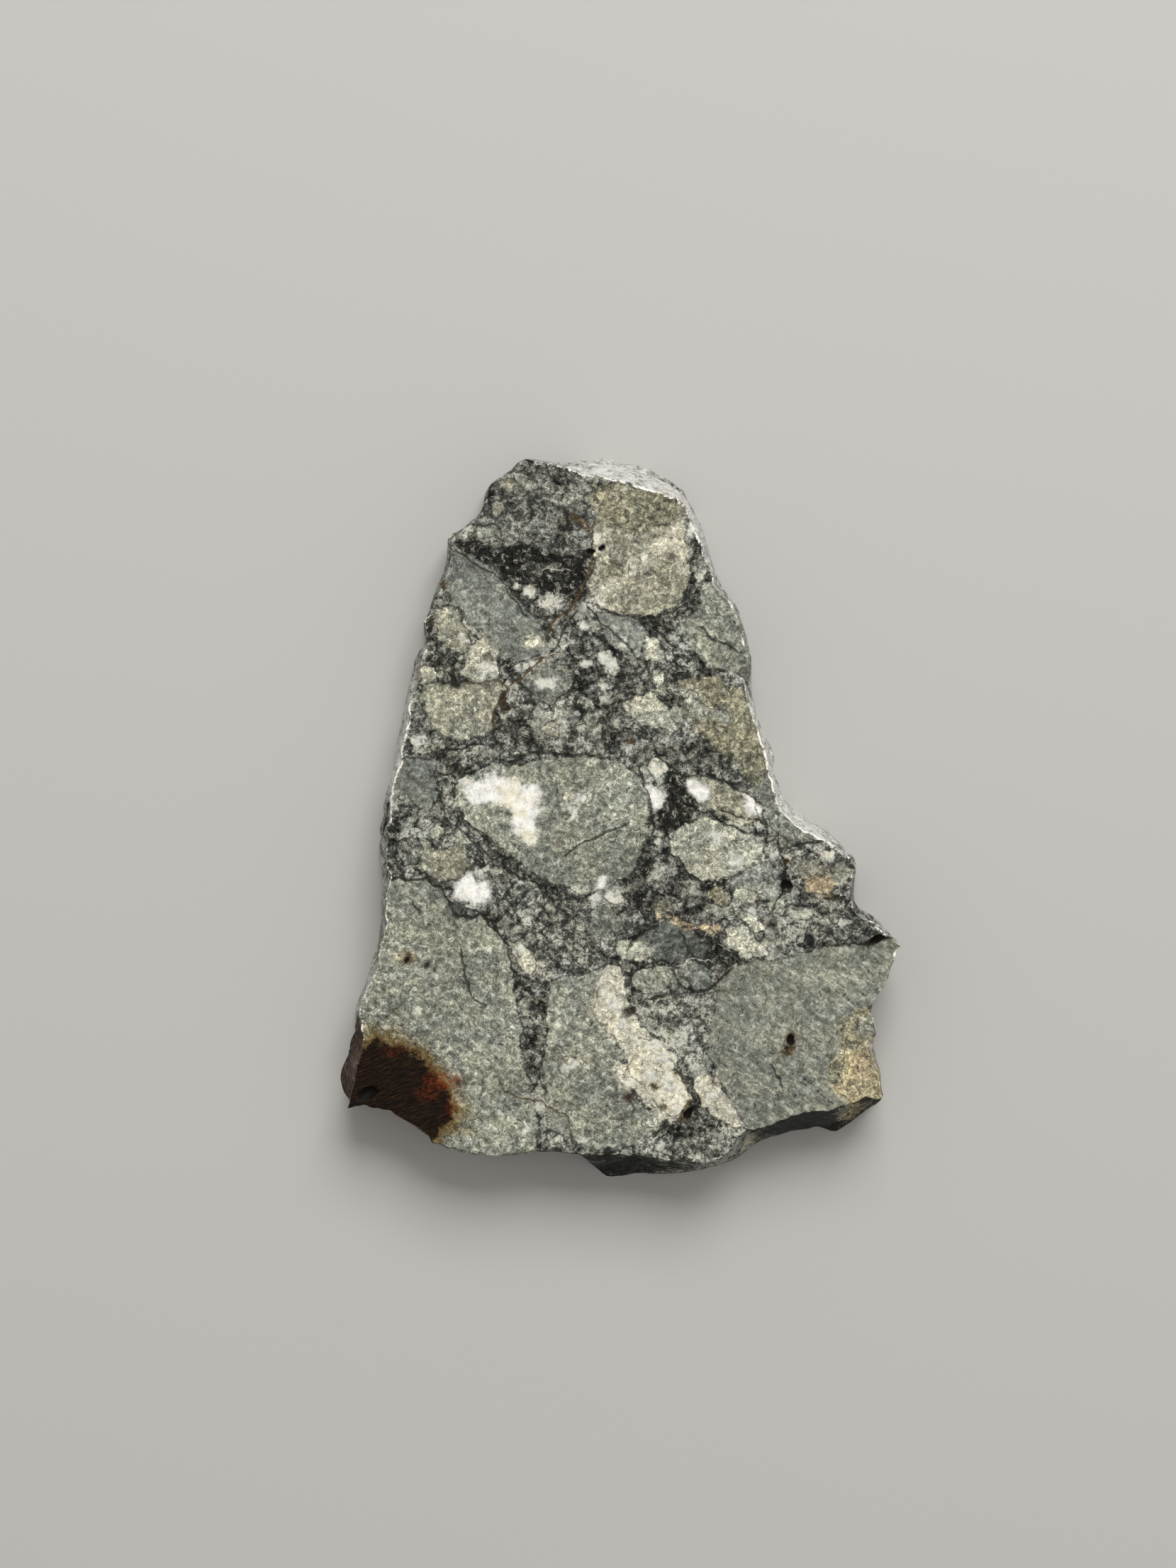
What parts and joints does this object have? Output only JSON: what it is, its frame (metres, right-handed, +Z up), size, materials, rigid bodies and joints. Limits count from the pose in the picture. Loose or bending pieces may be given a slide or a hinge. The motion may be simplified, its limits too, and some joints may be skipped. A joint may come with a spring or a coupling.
{
  "type": "lunar meteorite slice",
  "caption": "Thin sawn slice of a lunar breccia with pale angular clasts in a dark matrix, a broken rim and a rusty corner; lies flat on its sawn back.",
  "frame": {"origin": "middle of the slice's outline, on the sawn back face that it lies on", "axes": "+Z up out of the sawn front face, +Y towards the narrow end, +X to the right seen from the front"},
  "size_m": [0.0159, 0.0206, 0.002],
  "materials": {
    "breccia": "lapped stone, matt with a faint sheen"
  },
  "bodies": {
    "root": {"meteorite_slice": "breccia"}
  },
  "joints": []
}
